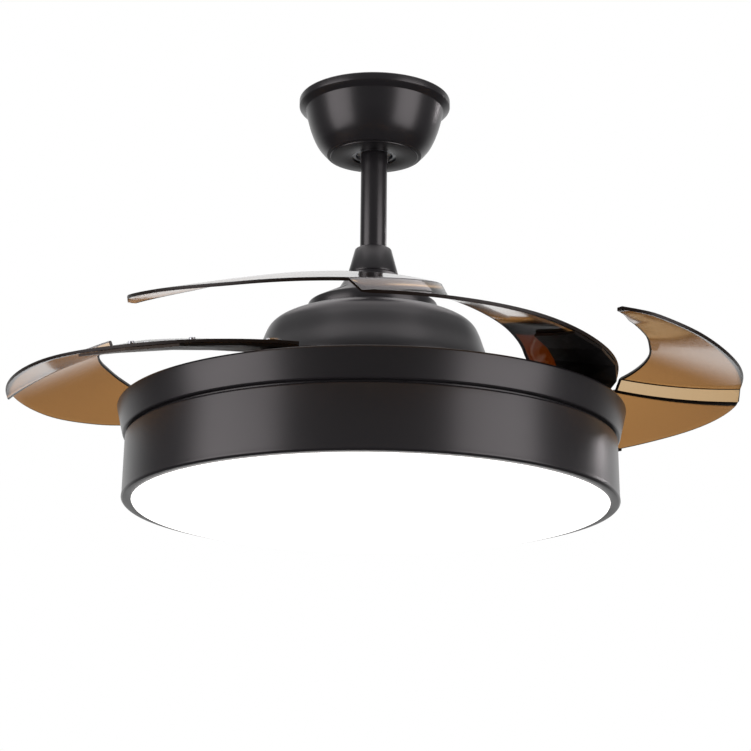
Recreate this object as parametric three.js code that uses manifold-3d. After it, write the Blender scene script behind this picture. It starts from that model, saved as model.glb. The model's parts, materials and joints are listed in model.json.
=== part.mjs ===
// Ceiling fan with four retractable blades above a round lamp, hung on a short rod.
// Millimetres, +Z up. The origin is the middle of the face that meets the ceiling.
// Inside the builder functions every height is measured up from the lamp's lower edge.
import * as THREE from "three";
import { mergeVertices } from "three/addons/utils/BufferGeometryUtils.js";
import Module from "manifold-3d";

const wasm = await Module();
wasm.setup();

// ---- overall ----
const overallHeight = 425; // ceiling to the lamp's lower edge
const seatGap = 0.3; // between pieces that rest on each other
const runningGap = 0.3; // ball in its seat, pin in its hole
const pressGap = 0.15; // cross pin in its hole
const sheet = 1; // pressed steel of the drum, band, dome, cap and canopy
const softEdge = 1; // small bevel on pressed and turned edges
const bigSides = 28; // facets round the drum and the other large turned pieces
const midSides = 20;
const smallSides = 12;

// ---- lamp ----
const drumRadius = 242.4; // at the lower edge
const drumTaper = 1; // the drum is this much narrower at its top
const drumHeight = 62.4;
const drumBead = 0.6; // rolled bead round the lower edge stands out this far
const beadHeight = 4.6;
const lipWidth = 9.3; // flat ring that holds the diffuser
const bandHeight = 30.7; // from the drum's top to the rim
const rimOverhang = 7.6; // widest edge, where the tapered band ends, outside the drum
const rimRoll = 1.6; // rolled top edge of the band
const bandFootProud = 1.6; // foot of the tapered band outside the drum's lower edge
const grooveWidth = 2.1; // dark groove between drum and band
const grooveDepth = 4;
const shelfWidth = 15.4; // flanges that join drum and band
const chassisThickness = 1.5;
const ledBoardInset = 4; // inside the shelf
const ledBoardBore = 25;
const ledBoardThickness = 1;
const diffuserWall = 1.6;
const diffuserDepth = 22;
const diffuserEdge = 2; // rounded lower corner
const diffuserProud = 2.4; // its face stands this far below the drum
const driverLength = 120;
const driverWidth = 46;
const driverHeight = 15;
const driverOffset = 105;

// ---- turntable and motor ----
const turntableInset = 13; // inside the rim
const turntableThickness = 2;
const guideWidth = 7; // rib that the sync ring turns on
const hubWall = 8;
const rotorRadius = 72;
const rotorWall = 2.4;
const rotorHeight = 60;
const rotorFlange = 14;
const rotorCorner = 6;
const magnetThickness = 4;
const magnetHeight = 28;
const airGap = 1.2;
const statorPoles = 9;
const statorHeight = 14;
const coilHeight = 24;
const poleTip = 5;
const shaftRadius = 9;
const shaftBore = 5.5;
const shaftCollar = 3; // shoulder that the lower bearing stands on
const shaftFlangeRadius = 32;
const shaftFlangeThickness = 3.6;
const bearingWidth = 7.7; // radial width of each ball bearing
const bearingHeight = 8;
const bearingDrop = 12; // lower bearing below the turntable
const bearingShield = 0.8; // the shield lies this deep in the end face
const nutRadius = 15;
const nutHeight = 8;
const shaftProud = 2; // shaft below its nut

// ---- dome, cap and coupling ----
const domeGap = 33.9; // the dome's lower edge above the rim
const domeRadius = 121; // at its lower edge
const domeHeight = 66.5;
const domeTopRadius = 64.2; // flat top that the cap sits on
const capOverhang = 0.8; // the cap outside the dome's flat top
const capRimHeight = 11.7; // upright edge
const capSlopeHeight = 14.5; // sloping shoulder
const capNeckHeight = 16;
const capNeckFlare = 9.2; // the neck is this much wider at its foot
const capShelf = 0.6; // the cap's top outside the coupling cover
const ventCount = 10;
const ventWidth = 3.4;
const ventMargin = 7; // solid ring inside and outside the vents
const yokeFlangeInset = 6.2; // inside the dome's flat top
const yokeFlangeThickness = 4;
const yokeWall = 2.35; // collar round the rod
const yokeNeck = 37.8; // from the flange to the shaft's seat
const yokeSocket = 27.7; // the rod goes this deep into the collar
const yokePinDrop = 10.85; // cross pin below the collar's top
const domeHoleMargin = 5; // round the collar
const coverClearance = 2.6; // the cover's top outside the collar
const coverFlare = 6.6; // the cover is this much wider at its foot
const coverHeadroom = 6.3; // the cover's top above the collar
const crossPinRadius = 3;
const crossPinProud = 1.5;
const receiverHeight = 12;
const receiverInset = 1; // inside the collar's flange
const receiverMargin = 4; // round the shaft

// ---- rod, hanger and canopy ----
const rodRadius = 13.35; // three-quarter-inch pipe
const rodWall = 2.6;
const rodProud = 12; // the rod's top above the ball's centre
const ballRadius = 24;
const ballSeat = 19.3; // the ball's centre above the cradle's foot
const ballTopCut = 10; // flat above the centre
const ballFootCut = 17; // flat below the centre
const ballPinInset = 4; // pin ends inside the ball
const canopyHeight = 61.6;
const canopyRadius = 77.2;
const canopyFloorMargin = 6.4; // the flat bottom reaches this far past the cradle
const canopySwing = 9.15; // room for the rod in the canopy's hole
const canopyStep = 1.2; // step round the flat bottom
const canopyLipHeight = 7.4; // raised lip round the top
const canopyLipWidth = 1.8;
const cradleRadius = 38;
const cradleHeight = 9.7;
const cradleSwing = 5.65; // room for the rod in the cradle's bore
const cradleMouthRoom = 1.3; // the rod passes the open side when it is hung
const bracketLength = 118;
const bracketWidth = 36;
const bracketThickness = 2.6;
const bracketLegWidth = 30;
const bracketSlotLength = 16;
const bracketSlotWidth = 5.2;
const bracketSlotInset = 15; // the slot's middle from the bracket's end

// ---- blade gears ----
const pivotInset = 25; // blade pivots inside the rim
const ringTeeth = 124;
const sectorTeeth = 26; // teeth of the whole gear that each sector is part of
const pressureAngle = THREE.MathUtils.degToRad(20);
const backlash = 0.5;
const tipRelief = 0.2;
const gearThickness = 4.5;
const bossStandoff = 2.6; // gears above the turntable
const ringWidth = 18; // from the ring's bore to the roots of its teeth
const ringPlay = 0.8; // of the ring on its guide
const coverInset = 1.5; // edge of the gear cover inside the roots of the ring's teeth
const coverPlay = 1; // gear cover round the rotor
const coverCollarWidth = 4;
const coverCollarHeight = 5;
const bossRadius = 11;
const bossProud = 0.8; // boss above the blade
const pinRadius = 5;
const pinFlange = 5; // foot and spring reach this far outside the pin
const pinRivet = 3; // rivet head outside the pin, low enough for the next blade to fold over
const pinTopHeight = 1.8;
const pinFootHeight = 2.6;
const springTurns = 3;
const springWire = 1.8;
const springPitch = 2.6;
const springMargin = 3; // middle of the wire outside the pin

// ---- blades ----
const bladeCount = 4;
const firstPivotAngle = 66.75; // azimuth of the first blade's pivot
const foldedAngle = -30; // joint value with the blades inside the rim
const openAngle = 60; // joint value with the blades fully out
const bladeThickness = 3;
const bladeInset = 3.5; // a folded blade lies this far inside the rim
const bladeWidth = 90;
const bladeRise = 60; // the inner edge's highest part above the rim
const tipAngle = 158.6;
const innerStepAngle = 65; // where the step across the blade meets its inner edge
const outerStepAngle = 95; // and its outer edge
const stepAngle = 2.6; // the step rises over this angle
const armThickness = 2.5;
const rootSteps = 8;
const wingSteps = 10;
const armSteps = 4; // steps of the root that the steel arm runs under
const acrossSteps = 3;

// A folded blade's edges and heights against the angle clockwise from its pivot,
// as shares of its width and of its rise.
const outerTrimAt = smoothThrough([
  [-5, 0],
  [138, 0],
  [151, 0.05],
  [tipAngle, 0.189],
]);
const innerReachAt = smoothThrough([
  [-2, 0.828],
  [15, 0.961],
  [50, 0.994],
  [107, 0.983],
  [126, 0.906],
  [143, 0.728],
  [tipAngle, 0.272],
]);
const rootOuterLift = smoothThrough([
  [-5, 0.133],
  [30, 0.15],
  [60, 0.217],
  [outerStepAngle, 0.233],
]);
const wingOuterLift = smoothThrough([
  [outerStepAngle, 0.4],
  [120, 0.433],
  [140, 0.558],
  [tipAngle, 0.758],
]);
const rootInnerLift = smoothThrough([
  [-2, 0.292],
  [25, 0.517],
  [innerStepAngle, 0.7],
]);
const wingInnerLift = smoothThrough([
  [innerStepAngle, 0.85],
  [90, 0.95],
  [115, 0.983],
  [140, 0.933],
  [tipAngle, 0.767],
]);

// ---- levels and radii that follow from the sizes above ----
const drumTopRadius = drumRadius - drumTaper;
const neckRadius = drumTopRadius - grooveDepth;
const shelfRadius = drumTopRadius - shelfWidth;
const rimRadius = drumRadius + rimOverhang;
const rimLevel = drumHeight + bandHeight;
const turntableRadius = rimRadius - turntableInset;
const turntableTop = rimLevel;
const turntableBase = turntableTop - turntableThickness;
const pivotRadius = rimRadius - pivotInset;
const gearModule = (2 * pivotRadius) / (ringTeeth + sectorTeeth);
const bladeEdgeRadius = rimRadius - bladeInset;
const bossBase = turntableTop + seatGap;
const gearBase = bossBase + bossStandoff;
const gearTop = gearBase + gearThickness;
const ringPitch = (ringTeeth * gearModule) / 2;
const sectorPitch = (sectorTeeth * gearModule) / 2;
const ringRoot = ringPitch - 1.25 * gearModule;
const ringBore = ringRoot - ringWidth;
const ringGuide = ringBore - ringPlay;
const chassisBase = drumHeight + seatGap + sheet + seatGap;
const chassisTop = chassisBase + chassisThickness;
const flangeTop = chassisTop + seatGap + shaftFlangeThickness;
const lowerBearing = turntableBase - bearingDrop;
const bearingRadius = shaftRadius + seatGap + bearingWidth;
const bearingSeat = bearingRadius + seatGap;
const rotorBase = turntableTop + seatGap;
const rotorTop = rotorBase + rotorHeight;
const upperBearing = rotorTop - bearingHeight - softEdge;
const motorMiddle = (rotorBase + rotorTop) / 2;
const magnetRadius = rotorRadius - rotorWall - seatGap;
const statorRadius = magnetRadius - magnetThickness - airGap;
const domeBase = rimLevel + domeGap;
const domeTop = domeBase + domeHeight;
const capRadius = domeTopRadius + capOverhang;
const capBase = domeTop + seatGap;
const capShoulder = capBase + capRimHeight;
const capNeck = capShoulder + capSlopeHeight;
const capTop = capNeck + capNeckHeight;
const yokeFlangeTop = domeTop - sheet - seatGap;
const yokeFlangeBase = yokeFlangeTop - yokeFlangeThickness;
const yokeFlangeRadius = domeTopRadius - yokeFlangeInset;
const yokeBore = rodRadius + seatGap;
const yokeRadius = yokeBore + yokeWall;
const rodFoot = yokeFlangeTop + yokeNeck + seatGap;
const yokeTop = rodFoot + yokeSocket;
const yokePinLevel = yokeTop - yokePinDrop;
const shaftTop = rodFoot - 2 * seatGap;
const coverFoot = capTop + seatGap;
const coverTop = yokeTop + coverHeadroom;
const coverTopRadius = yokeRadius + coverClearance;
const coverFootRadius = coverTopRadius + coverFlare;
const capTopRadius = coverFootRadius + capShelf;
const capNeckRadius = capTopRadius + capNeckFlare;
const canopyFoot = overallHeight - canopyHeight;
const canopyFloorRadius = cradleRadius + canopyFloorMargin;
const cradleBase = canopyFoot + sheet + seatGap;
const ballLevel = cradleBase + ballSeat;
const rodTop = ballLevel + rodProud;
const springRadius = pinRadius + springMargin;

// ---- small helpers ----
function polar(radius, degrees) {
  const angle = THREE.MathUtils.degToRad(degrees);
  return [radius * Math.cos(angle), radius * Math.sin(angle)];
}

// A curve through the given points that never swings past them.
function smoothThrough(points) {
  const last = points.length - 1;
  const slope = points
    .slice(1)
    .map(([x, y], i) => (y - points[i][1]) / (x - points[i][0]));
  const tangent = points.map((_, i) => {
    if (i === 0 || i === last) return slope[Math.min(i, last - 1)];
    const before = slope[i - 1];
    const after = slope[i];
    return before * after <= 0 ? 0 : (2 * before * after) / (before + after);
  });
  return (x) => {
    let i = 0;
    while (i < last - 1 && x > points[i + 1][0]) i++;
    const [x0, y0] = points[i];
    const [x1, y1] = points[i + 1];
    const width = x1 - x0;
    const t = Math.min(1, Math.max(0, (x - x0) / width));
    const t2 = t * t;
    const t3 = t2 * t;
    const fromStart = (2 * t3 - 3 * t2 + 1) * y0 + (t3 - 2 * t2 + t) * width * tangent[i];
    const fromEnd = (3 * t2 - 2 * t3) * y1 + (t3 - t2) * width * tangent[i + 1];
    return fromStart + fromEnd;
  };
}

function positionsOnly(geometry) {
  const copy = geometry.clone();
  copy.deleteAttribute("normal");
  copy.deleteAttribute("uv");
  return mergeVertices(copy, 1e-4);
}

function toSolid(geometry) {
  const merged = positionsOnly(geometry);
  return new wasm.Manifold(
    new wasm.Mesh({
      numProp: 3,
      vertProperties: merged.attributes.position.array,
      triVerts: new Uint32Array(merged.index.array),
    }),
  );
}

function toGeometry(solid) {
  const mesh = solid.getMesh();
  const geometry = new THREE.BufferGeometry();
  geometry.setAttribute("position", new THREE.BufferAttribute(mesh.vertProperties, 3));
  geometry.setIndex(new THREE.BufferAttribute(mesh.triVerts, 1));
  return geometry;
}

function cut(base, ...tools) {
  return toGeometry(tools.reduce((left, tool) => left.subtract(toSolid(tool)), toSolid(base)));
}

function join(...pieces) {
  return toGeometry(pieces.map(toSolid).reduce((all, piece) => all.add(piece)));
}

// A profile of [radius, height] turned about Z. It starts and ends on the axis.
function turned(profile, sides = midSides) {
  const points = profile.map(([r, z]) => new THREE.Vector2(r, z));
  return new THREE.LatheGeometry(points, sides).rotateX(Math.PI / 2);
}

// A profile that closes on itself: up the outside, down the inside.
function turnedRing(profile, sides = midSides) {
  return turned([...profile, profile[0]], sides);
}

function washer(inner, outer, base, top, sides = midSides) {
  return turnedRing(
    [
      [inner, base],
      [outer, base],
      [outer, top],
      [inner, top],
    ],
    sides,
  );
}

// The line beside a profile, at the wall's thickness on its inner side.
function besideProfile(profile, wall) {
  const along = profile.slice(1).map(([x, y], i) => {
    const dx = x - profile[i][0];
    const dy = y - profile[i][1];
    const length = Math.hypot(dx, dy);
    return [-dy / length, dx / length];
  });
  return profile.map(([x, y], i) => {
    if (i === 0 || i === along.length) {
      const [nx, ny] = along[Math.min(i, along.length - 1)];
      const upright = Math.abs(nx) > Math.abs(ny); // a cut edge stays level or upright
      return upright ? [x + wall * Math.sign(nx), y] : [x, y + wall * Math.sign(ny)];
    }
    const before = along[i - 1];
    const after = along[i];
    const mitre = 1 + before[0] * after[0] + before[1] * after[1];
    return [
      x + (wall * (before[0] + after[0])) / mitre,
      y + (wall * (before[1] + after[1])) / mitre,
    ];
  });
}

// A pressed shell. Its inner side may follow a plainer version of the outer profile.
function turnedShell(outside, sides = bigSides, insideOf = outside) {
  const inside = besideProfile(insideOf, sheet);
  return turnedRing([...outside, ...inside.reverse()], sides);
}

function rod(radius, base, top, sides = smallSides) {
  return new THREE.CylinderGeometry(radius, radius, top - base, sides)
    .rotateX(Math.PI / 2)
    .translate(0, 0, (base + top) / 2);
}

function box(width, depth, base, top) {
  return new THREE.BoxGeometry(width, depth, top - base).translate(0, 0, (base + top) / 2);
}

function crossRod(radius, length, level) {
  return new THREE.CylinderGeometry(radius, radius, length, smallSides)
    .rotateZ(Math.PI / 2)
    .translate(0, 0, level);
}

function crossPin(level, halfLength) {
  return crossRod(crossPinRadius, 2 * halfLength, level);
}

function extruded(shape, base, top) {
  return new THREE.ExtrudeGeometry(shape, {
    depth: top - base,
    bevelEnabled: false,
    curveSegments: smallSides / 2,
  }).translate(0, 0, base);
}

// A round-ended slot along X.
function slotShape(length, width) {
  const half = (length - width) / 2;
  const shape = new THREE.Shape();
  shape.absarc(half, 0, width / 2, -Math.PI / 2, Math.PI / 2);
  shape.absarc(-half, 0, width / 2, Math.PI / 2, (3 * Math.PI) / 2);
  return shape;
}

function circleHole(radius, points = bigSides) {
  const hole = new THREE.Path();
  for (let i = 0; i < points; i++) {
    const [x, y] = polar(radius, (-360 * i) / points);
    if (i === 0) hole.moveTo(x, y);
    else hole.lineTo(x, y);
  }
  hole.closePath();
  return hole;
}

const group = new THREE.Group();
const fan = new THREE.Group();
fan.position.z = -overallHeight;
group.add(fan);

const finishes = {
  charcoal: { color: 0x3a393b, roughness: 0.42, metalness: 0.35 },
  zinc: { color: 0xb9bcc0, roughness: 0.35, metalness: 0.9 },
  steel: { color: 0x8d9095, roughness: 0.4, metalness: 0.9 },
  amber: { color: 0x96693f, roughness: 0.12, metalness: 0 },
  opal: { color: 0xffffff, roughness: 0.5, metalness: 0 },
  nylon: { color: 0x232326, roughness: 0.55, metalness: 0 },
  copper: { color: 0xa5623a, roughness: 0.4, metalness: 0.8 },
  board: { color: 0xe8e8e4, roughness: 0.5, metalness: 0.1 },
  ferrite: { color: 0x2b2b2d, roughness: 0.7, metalness: 0.2 },
};

function addPiece(name, geometry, finish, parent = fan) {
  const mesh = new THREE.Mesh(geometry, new THREE.MeshStandardMaterial(finishes[finish]));
  mesh.name = name;
  parent.add(mesh);
  return mesh;
}

// ---- lamp ----
function lampDrum() {
  const outside = [
    [drumRadius - lipWidth, 0],
    [drumRadius - softEdge, 0],
    [drumRadius + drumBead, rimRoll],
    [drumRadius, beadHeight],
    [drumTopRadius, drumHeight - rimRoll],
    [drumTopRadius - softEdge, drumHeight],
    [shelfRadius, drumHeight],
  ];
  const plain = [outside[0], [drumRadius, 0], [drumTopRadius, drumHeight], outside.at(-1)];
  return turnedShell(outside, bigSides, plain);
}

function lampBand() {
  const foot = drumHeight + seatGap;
  const grooveTop = drumHeight + grooveWidth;
  const footRadius = drumRadius + bandFootProud;
  const outside = [
    [shelfRadius, foot],
    [neckRadius, foot],
    [neckRadius, grooveTop],
    [footRadius - softEdge, grooveTop],
    [footRadius, grooveTop + softEdge],
    [rimRadius, rimLevel - rimRoll],
    [rimRadius - drumBead, rimLevel],
  ];
  const plain = [...outside.slice(0, 4), outside.at(-1)];
  return turnedShell(outside, bigSides, plain);
}

function lampChassis() {
  const radius = neckRadius - sheet - seatGap;
  return washer(shaftRadius + seatGap, radius, chassisBase, chassisTop, bigSides);
}

function ledBoard() {
  const top = chassisBase - seatGap;
  return washer(ledBoardBore, shelfRadius - ledBoardInset, top - ledBoardThickness, top, bigSides);
}

// The dish rests on the drum's lip, and its face comes down through it.
function lampDiffuser() {
  const seat = sheet + seatGap;
  const radius = drumTopRadius - sheet - 3 * seatGap;
  const faceRadius = drumRadius - lipWidth - 2 * seatGap;
  const outside = [
    [0, -diffuserProud],
    [faceRadius - diffuserEdge, -diffuserProud],
    [faceRadius, diffuserEdge - diffuserProud],
    [faceRadius, seat],
    [radius, seat],
    [radius, seat + diffuserDepth],
  ];
  return turned([...outside, ...besideProfile(outside, diffuserWall).reverse()], bigSides);
}

function ledDriver() {
  const base = chassisTop + seatGap;
  return box(driverLength, driverWidth, base, base + driverHeight).translate(0, driverOffset, 0);
}

// ---- motor ----
function motorShaft() {
  const base = chassisBase - seatGap - nutHeight - shaftProud;
  return turnedRing(
    [
      [shaftBore, base],
      [shaftRadius, base],
      [shaftRadius, chassisTop + seatGap],
      [shaftFlangeRadius, chassisTop + seatGap],
      [shaftFlangeRadius, flangeTop],
      [shaftRadius + shaftCollar, flangeTop],
      [shaftRadius + shaftCollar, lowerBearing - seatGap],
      [shaftRadius, lowerBearing - seatGap],
      [shaftRadius, shaftTop],
      [shaftBore, shaftTop],
    ],
    smallSides,
  );
}

function shaftNut() {
  const top = chassisBase - seatGap;
  return cut(
    rod(nutRadius, top - nutHeight, top, 6),
    rod(shaftRadius + seatGap, top - nutHeight - 1, top + 1),
  );
}

function ballBearing(base) {
  const top = base + bearingHeight;
  const inner = shaftRadius + seatGap;
  const race = inner + bearingWidth * 0.3;
  return turnedRing(
    [
      [inner, base],
      [bearingRadius, base],
      [bearingRadius, top],
      [race, top],
      [race, top - bearingShield],
      [inner, top - bearingShield],
    ],
    smallSides,
  );
}

function stator() {
  const shape = new THREE.Shape();
  const hub = statorRadius * 0.45;
  const tip = statorRadius - poleTip;
  const span = 360 / statorPoles;
  for (let pole = 0; pole < statorPoles; pole++) {
    const middle = pole * span;
    const outline = [
      polar(hub, middle - span * 0.32),
      polar(tip, middle - span * 0.14),
      polar(statorRadius, middle - span * 0.42),
      polar(statorRadius, middle + span * 0.42),
      polar(tip, middle + span * 0.14),
      polar(hub, middle + span * 0.32),
    ];
    outline.forEach(([x, y], i) => {
      if (pole === 0 && i === 0) shape.moveTo(x, y);
      else shape.lineTo(x, y);
    });
  }
  shape.closePath();
  shape.holes.push(circleHole(shaftRadius + seatGap, smallSides));
  return extruded(shape, motorMiddle - statorHeight / 2, motorMiddle + statorHeight / 2);
}

// The windings, one ring of coils that fills the slots between the poles.
function statorWithCoils() {
  const inner = statorRadius * 0.5;
  const outer = statorRadius - 1.6 * poleTip;
  const coils = [];
  for (let pole = 0; pole < statorPoles; pole++) {
    const coil = box(
      outer - inner,
      2 * inner * Math.sin(Math.PI / statorPoles) - 2,
      motorMiddle - coilHeight / 2,
      motorMiddle + coilHeight / 2,
    );
    coil.translate((inner + outer) / 2, 0, 0);
    coil.rotateZ((2 * Math.PI * pole) / statorPoles);
    coils.push(coil);
  }
  return join(stator(), ...coils);
}

function rotorShell() {
  const inner = rotorRadius - rotorWall;
  const seatWall = bearingSeat + rotorCorner;
  return turnedRing([
    [inner, rotorBase],
    [rotorRadius + rotorFlange, rotorBase],
    [rotorRadius + rotorFlange, rotorBase + rotorWall],
    [rotorRadius, rotorBase + rotorWall],
    [rotorRadius, rotorTop - rotorCorner],
    [rotorRadius - rotorCorner, rotorTop],
    [shaftRadius + shaftCollar, rotorTop],
    [shaftRadius + shaftCollar, upperBearing + bearingHeight + seatGap],
    [bearingSeat, upperBearing + bearingHeight + seatGap],
    [bearingSeat, upperBearing],
    [seatWall, upperBearing],
    [seatWall, rotorTop - rotorWall],
    [inner - rotorCorner, rotorTop - rotorWall],
    [inner, rotorTop - rotorWall - rotorCorner],
  ]);
}

function magnetRing() {
  const base = motorMiddle - magnetHeight / 2;
  return washer(magnetRadius - magnetThickness, magnetRadius, base, base + magnetHeight);
}

// ---- turntable ----
function turntable() {
  const landTop = gearBase - seatGap;
  const landRadius = ringBore + ringWidth * 0.6;
  const hubRadius = bearingSeat + hubWall;
  const plate = turnedRing(
    [
      [bearingSeat, lowerBearing],
      [hubRadius, lowerBearing],
      [hubRadius, turntableBase],
      [turntableRadius, turntableBase],
      [turntableRadius, turntableTop],
      [landRadius, turntableTop],
      [landRadius, landTop],
      [ringGuide, landTop],
      [ringGuide, gearTop],
      [ringGuide - guideWidth, gearTop],
      [ringGuide - guideWidth, turntableTop],
      [bearingSeat, turntableTop],
    ],
    bigSides,
  );
  const holes = pivotAngles().map((degrees) => {
    const [x, y] = polar(pivotRadius, degrees);
    const past = turntableThickness;
    return rod(pinRadius + runningGap, turntableBase - past, turntableTop + past).translate(x, y, 0);
  });
  return cut(plate, ...holes);
}

function ringCover() {
  const base = gearTop + seatGap;
  const outer = ringRoot - coverInset;
  const inner = rotorRadius + coverPlay;
  const collar = inner + coverCollarWidth;
  return turnedRing(
    [
      [inner, base],
      [outer, base],
      [outer, base + sheet],
      [collar, base + sheet],
      [collar, base + coverCollarHeight],
      [inner, base + coverCollarHeight],
    ],
    bigSides,
  );
}

// ---- gears ----
function involute(angle) {
  return Math.tan(angle) - angle;
}

// Half the angle that a tooth takes at a radius, in degrees.
function halfTooth(radius, pitch, teeth) {
  const base = pitch * Math.cos(pressureAngle);
  const here = Math.acos(Math.min(1, base / radius));
  const atPitch = Math.PI / (2 * teeth) - backlash / (4 * pitch);
  return THREE.MathUtils.radToDeg(atPitch + involute(pressureAngle) - involute(here));
}

// Points of one tooth, from the root on one side to the root on the other.
function toothPoints(middle, pitch, teeth) {
  const radii = [pitch - 1.25 * gearModule, pitch + gearModule - tipRelief];
  const rising = radii.map((r) => polar(r, middle - halfTooth(r, pitch, teeth)));
  const falling = radii.map((r) => polar(r, middle + halfTooth(r, pitch, teeth)));
  return [...rising, ...falling.reverse()];
}

function outlineShape(points) {
  const shape = new THREE.Shape();
  points.forEach(([x, y], i) => {
    if (i === 0) shape.moveTo(x, y);
    else shape.lineTo(x, y);
  });
  shape.closePath();
  return shape;
}

// The ring that keeps the four blades in step. A gap between teeth faces each pivot,
// and the teeth run only as far as the blades' travel brings them into mesh.
function syncRing() {
  const pitchAngle = 360 / ringTeeth;
  const turn = sectorTeeth / ringTeeth;
  const before = Math.ceil((-foldedAngle * turn) / pitchAngle) + 1;
  const after = Math.ceil((openAngle * turn) / pitchAngle) + 1;
  const toothless = ringTeeth / bladeCount - before - after;
  const points = [];
  for (let blade = 0; blade < bladeCount; blade++) {
    const pivotAngle = firstPivotAngle + (360 / bladeCount) * blade;
    for (let tooth = -before; tooth < after; tooth++) {
      points.push(...toothPoints(pivotAngle + (tooth + 0.5) * pitchAngle, ringPitch, ringTeeth));
    }
    for (let gap = 1; gap < toothless; gap += 3) {
      points.push(polar(ringRoot, pivotAngle + (after + gap) * pitchAngle));
    }
  }
  const shape = outlineShape(points);
  shape.holes.push(circleHole(ringBore / Math.cos(Math.PI / bigSides))); // flats on the bore
  return extruded(shape, gearBase, gearTop);
}

// The toothed part of an arm, in the pivot's own frame with the blade folded.
// It covers the teeth that meet the ring between the folded and the open joint values.
function gearSector() {
  const pitchAngle = 360 / sectorTeeth;
  const towardAxis = -90 + foldedAngle; // the tooth that meets the ring in the stored pose
  const first = Math.floor(-openAngle / pitchAngle) - 1;
  const last = Math.ceil(-foldedAngle / pitchAngle) + 1;
  const points = [polar(bossRadius * 0.7, towardAxis + (last + 2) * pitchAngle), [0, bossRadius * 0.5]];
  points.push(polar(bossRadius * 0.7, towardAxis + (first - 2) * pitchAngle));
  for (let tooth = first; tooth <= last; tooth++) {
    points.push(...toothPoints(towardAxis + tooth * pitchAngle, sectorPitch, sectorTeeth));
  }
  return extruded(outlineShape(points), gearBase, gearTop);
}

// ---- blades ----
// Stations across the blade, each with its inner and outer edge point, as it lies folded.
function bladeStation(innerAngle, outerAngle, innerLift, outerLift) {
  return {
    inner: [
      bladeEdgeRadius - bladeWidth * innerReachAt(innerAngle),
      innerAngle,
      rimLevel + bladeRise * innerLift(innerAngle),
    ],
    outer: [
      bladeEdgeRadius - bladeWidth * outerTrimAt(outerAngle),
      outerAngle,
      rimLevel + bladeRise * outerLift(outerAngle),
    ],
  };
}

function rootStation(t) {
  const inner = THREE.MathUtils.lerp(-2, innerStepAngle, t);
  const outer = THREE.MathUtils.lerp(-5, outerStepAngle, t);
  return bladeStation(inner, outer, rootInnerLift, rootOuterLift);
}

function wingStation(t) {
  const inner = THREE.MathUtils.lerp(innerStepAngle + stepAngle, tipAngle, t);
  const outer = THREE.MathUtils.lerp(outerStepAngle + stepAngle, tipAngle, t);
  return bladeStation(inner, outer, wingInnerLift, wingOuterLift);
}

function shares(steps) {
  return Array.from({ length: steps + 1 }, (_, i) => i / steps);
}

// A point of the blade's middle surface, from the pivot, with X clockwise and Y outward.
function bladePoint(station, across) {
  const radius = THREE.MathUtils.lerp(station.inner[0], station.outer[0], across);
  const degrees = THREE.MathUtils.lerp(station.inner[1], station.outer[1], across);
  const height = THREE.MathUtils.lerp(station.inner[2], station.outer[2], across);
  const [outward, clockwise] = polar(radius, degrees);
  return new THREE.Vector3(clockwise, outward - pivotRadius, height);
}

// A sheet of even thickness that follows the blade's surface at the given offset.
function bladeSheet(stations, acrossValues, offset, thickness) {
  const grid = stations.map((station) => acrossValues.map((across) => bladePoint(station, across)));
  const rows = grid.length;
  const columns = acrossValues.length;
  const normalAt = (i, j) => {
    const along = grid[Math.min(i + 1, rows - 1)][j].clone().sub(grid[Math.max(i - 1, 0)][j]);
    const cross = grid[i][Math.min(j + 1, columns - 1)].clone().sub(grid[i][Math.max(j - 1, 0)]);
    const normal = cross.cross(along);
    return normal.normalize().multiplyScalar(Math.sign(normal.z));
  };
  const positions = [];
  for (const side of [1, -1]) {
    for (let i = 0; i < rows; i++) {
      for (let j = 0; j < columns; j++) {
        const shift = normalAt(i, j).multiplyScalar(offset + (side * thickness) / 2);
        const point = grid[i][j].clone().add(shift);
        positions.push(point.x, point.y, point.z);
      }
    }
  }
  const upper = (i, j) => i * columns + j;
  const lower = (i, j) => rows * columns + upper(i, j);
  const index = [];
  const quad = (a, b, c, d) => index.push(a, b, c, a, c, d);
  for (let i = 0; i < rows - 1; i++) {
    for (let j = 0; j < columns - 1; j++) {
      quad(upper(i, j), upper(i + 1, j), upper(i + 1, j + 1), upper(i, j + 1));
      quad(lower(i, j), lower(i, j + 1), lower(i + 1, j + 1), lower(i + 1, j));
    }
    quad(upper(i, 0), lower(i, 0), lower(i + 1, 0), upper(i + 1, 0));
    const j = columns - 1;
    quad(upper(i, j), upper(i + 1, j), lower(i + 1, j), lower(i, j));
  }
  for (let j = 0; j < columns - 1; j++) {
    quad(upper(0, j), upper(0, j + 1), lower(0, j + 1), lower(0, j));
    const i = rows - 1;
    quad(upper(i, j), lower(i, j), lower(i, j + 1), upper(i, j + 1));
  }
  const geometry = new THREE.BufferGeometry();
  geometry.setAttribute("position", new THREE.Float32BufferAttribute(positions, 3));
  geometry.setIndex(index);
  return geometry;
}

function bladeHeightAtPivot() {
  const { inner, outer } = bladeStation(0, 0, rootInnerLift, rootOuterLift);
  return THREE.MathUtils.mapLinear(pivotRadius, inner[0], outer[0], inner[2], outer[2]);
}

const bossTop = bladeHeightAtPivot() + bladeThickness / 2 + bossProud;

function fanBlade() {
  const stations = [...shares(rootSteps).map(rootStation), ...shares(wingSteps).map(wingStation)];
  return cut(
    bladeSheet(stations, shares(acrossSteps), 0, bladeThickness),
    rod(bossRadius + 2 * seatGap, rimLevel, bossTop + bladeRise),
  );
}

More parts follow.
